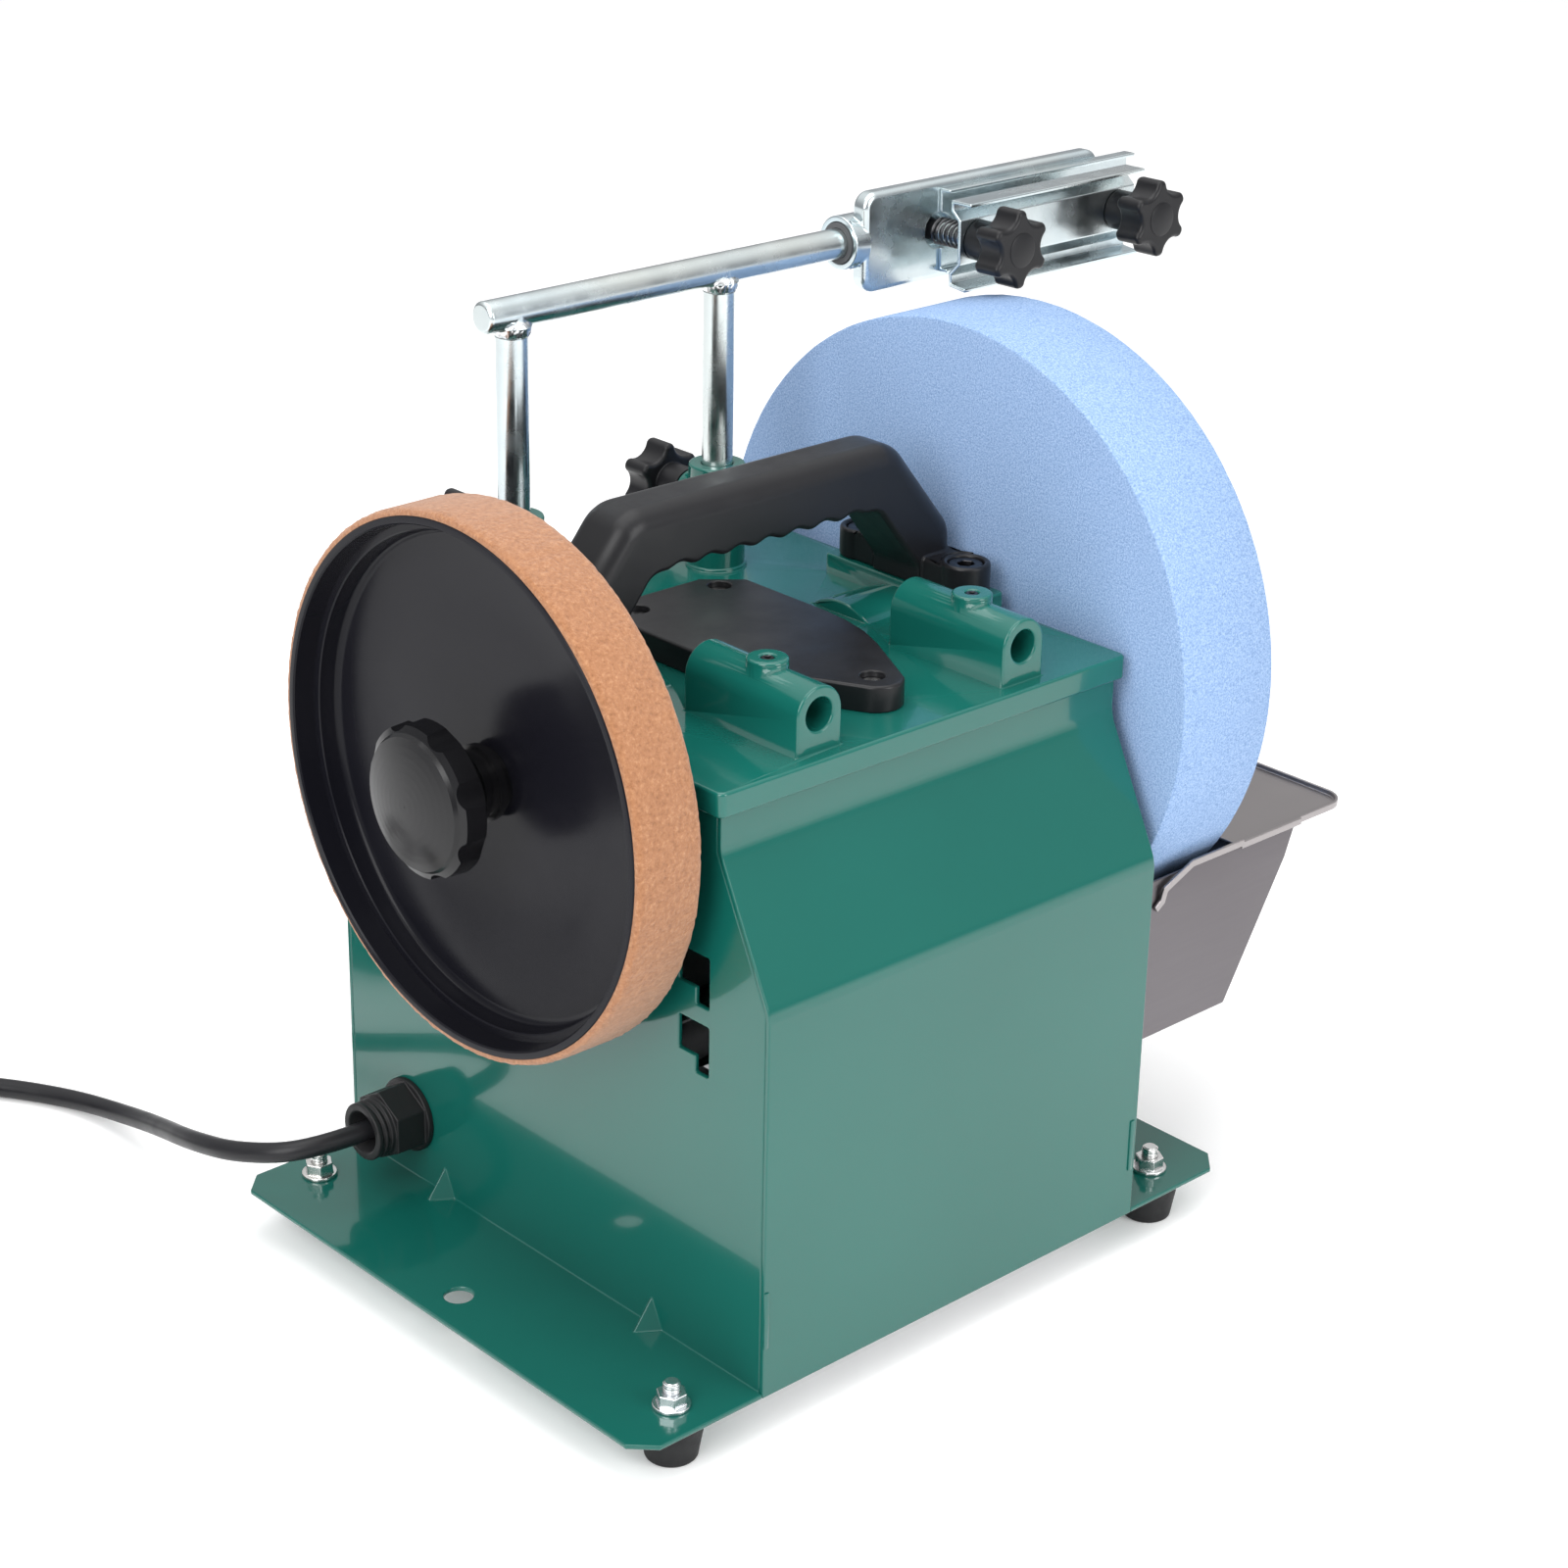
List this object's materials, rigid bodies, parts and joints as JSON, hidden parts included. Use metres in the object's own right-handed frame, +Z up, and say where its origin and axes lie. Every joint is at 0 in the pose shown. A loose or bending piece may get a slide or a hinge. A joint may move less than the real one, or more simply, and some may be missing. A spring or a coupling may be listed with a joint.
{
  "type": "wet grinding sharpener",
  "caption": "Water-cooled bench sharpener with a large grindstone, leather honing wheel, water trough, carrying handle, support bar and clamping jig on a sheet-steel motor housing.",
  "frame": {"origin": "on the floor under the middle of the machine's whole width and depth, cord left out", "axes": "+X along the shaft towards the grindstone, +Y to the back, +Z up"},
  "size_m": [0.6125, 0.4729, 0.3815],
  "materials": {
    "painted_steel": "glossy green powder coat",
    "painted_casting": "glossy green powder coat on a die casting",
    "zinc_steel": "bright zinc plate",
    "stainless": "brushed stainless sheet",
    "black_plastic": "scuffed satin black",
    "grey_plastic": "satin dark grey",
    "rubber": "matt black",
    "cord_sheath": "satin black sheath",
    "leather": "tan suede",
    "stone": "matt opaque vitrified abrasive, blue-grey",
    "bronze": "sintered bronze",
    "motor": "cast aluminium",
    "bright_steel": "ground steel",
    "brass_pins": "nickel-plated brass"
  },
  "bodies": {
    "housing": {"side_panel_left": "painted_steel", "side_panel_right": "painted_steel", "front_panel": "painted_steel", "back_panel": "painted_steel", "bottom_plate": "zinc_steel", "foot_front_left": "rubber", "foot_back_left": "rubber", "foot_front_right": "rubber", "foot_back_right": "rubber", "foot_studs": "zinc_steel", "foot_nuts": "zinc_steel", "top_casting": "painted_casting", "cover_plate": "black_plastic", "cover_screws": "bright_steel", "handle": "black_plastic", "handle_screws": "bright_steel", "shaft_bushes": "bronze", "motor_pivot": "bright_steel", "run_capacitor": "grey_plastic", "cable_gland": "black_plastic", "gland_locknut": "black_plastic", "switch_body": "black_plastic", "cord_lead": "cord_sheath", "cord_coil": "cord_sheath", "cord_tail": "cord_sheath", "mains_plug": "black_plastic", "plug_pins": "brass_pins"},
    "wheel_shaft": {"main_shaft": "bright_steel", "grindstone": "stone", "stone_inner_washer": "zinc_steel", "stone_outer_washer": "zinc_steel", "stone_nut": "zinc_steel", "honing_hub": "black_plastic", "leather_band": "leather", "drive_ring": "rubber"},
    "honing_clamp_knob": {"honing_knob": "black_plastic"},
    "motor": {"motor_casing": "motor", "motor_cradle": "zinc_steel"},
    "motor_rotor": {"motor_spindle": "bright_steel", "drive_roller": "bright_steel"},
    "support": {"support_bar": "zinc_steel"},
    "lock_left": {"lock_knob_left": "black_plastic"},
    "lock_right": {"lock_knob_right": "black_plastic"},
    "jig_sleeve": {"jig_bush": "grey_plastic"},
    "jig": {"jig_base": "zinc_steel", "jig_rear_jaw": "zinc_steel"},
    "clamp_jaw": {"jig_front_jaw": "zinc_steel", "jig_springs": "zinc_steel"},
    "clamp_knob_left": {"jig_knob_left": "black_plastic"},
    "clamp_knob_right": {"jig_knob_right": "black_plastic"},
    "trough": {"water_trough": "stainless", "trough_studs": "zinc_steel", "trough_tray": "stainless"},
    "rocker": {"switch_rocker": "black_plastic"}
  },
  "joints": [
    {"name": "wheel_spin", "type": "hinge", "parent": "housing", "child": "wheel_shaft", "pos_m": [-0.0554, 0, 0.2219], "axis": [1, 0, 0], "continuous": true},
    {"name": "honing_knob_turn", "type": "hinge", "parent": "wheel_shaft", "child": "honing_clamp_knob", "pos_m": [-0.1954, 0, 0.2219], "axis": [1, 0, 0], "range_deg": [0, 720]},
    {"name": "motor_swing", "type": "hinge", "parent": "housing", "child": "motor", "pos_m": [-0.0554, -0.07, 0.1502], "axis": [1, 0, 0], "range_deg": [0, 3]},
    {"name": "motor_shaft_spin", "type": "hinge", "parent": "motor", "child": "motor_rotor", "pos_m": [-0.0554, 0, 0.1412], "axis": [1, 0, 0], "continuous": true},
    {"name": "support_height", "type": "slide", "parent": "housing", "child": "support", "axis": [0, 0, 1], "range_m": [0, 0.05]},
    {"name": "lock_left_turn", "type": "hinge", "parent": "housing", "child": "lock_left", "pos_m": [-0.1054, 0.1, 0.27], "axis": [0, 1, 0], "range_deg": [0, 720]},
    {"name": "lock_right_turn", "type": "hinge", "parent": "housing", "child": "lock_right", "pos_m": [-0.0054, 0.1, 0.27], "axis": [0, 1, 0], "range_deg": [0, 720]},
    {"name": "jig_slide", "type": "slide", "parent": "support", "child": "jig_sleeve", "axis": [1, 0, 0], "range_m": [-0.007, 0.015]},
    {"name": "jig_tilt", "type": "hinge", "parent": "jig_sleeve", "child": "jig", "pos_m": [0.0946, 0.0723, 0.3616], "axis": [1, 0, 0], "range_deg": [-75, 0]},
    {"name": "jig_clamp", "type": "slide", "parent": "jig", "child": "clamp_jaw", "axis": [0, 0.9998, -0.0175], "range_m": [-0.0025, 0.00375]},
    {"name": "clamp_knob_left_turn", "type": "hinge", "parent": "clamp_jaw", "child": "clamp_knob_left", "pos_m": [0.1021, 0.03001, 0.36234], "axis": [0, 0.9998, -0.0175], "range_deg": [-720, 1080]},
    {"name": "clamp_knob_right_turn", "type": "hinge", "parent": "clamp_jaw", "child": "clamp_knob_right", "pos_m": [0.1836, 0.03001, 0.36234], "axis": [0, 0.9998, -0.0175], "range_deg": [-720, 1080]},
    {"name": "trough_lift", "type": "slide", "parent": "housing", "child": "trough", "axis": [0, 0, 1], "range_m": [0, 0.0065]},
    {"name": "switch_rock", "type": "hinge", "parent": "housing", "child": "rocker", "pos_m": [-0.1004, 0.115, 0.105], "axis": [1, 0, 0], "range_deg": [0, 16]}
  ],
  "couplings": [
    {"joint": "motor_shaft_spin", "follows": "wheel_spin", "ratio": 14.5},
    {"joint": "clamp_knob_left_turn", "follows": "jig_clamp", "rad_per_m": 5026.5},
    {"joint": "clamp_knob_right_turn", "follows": "jig_clamp", "rad_per_m": 5026.5}
  ]
}
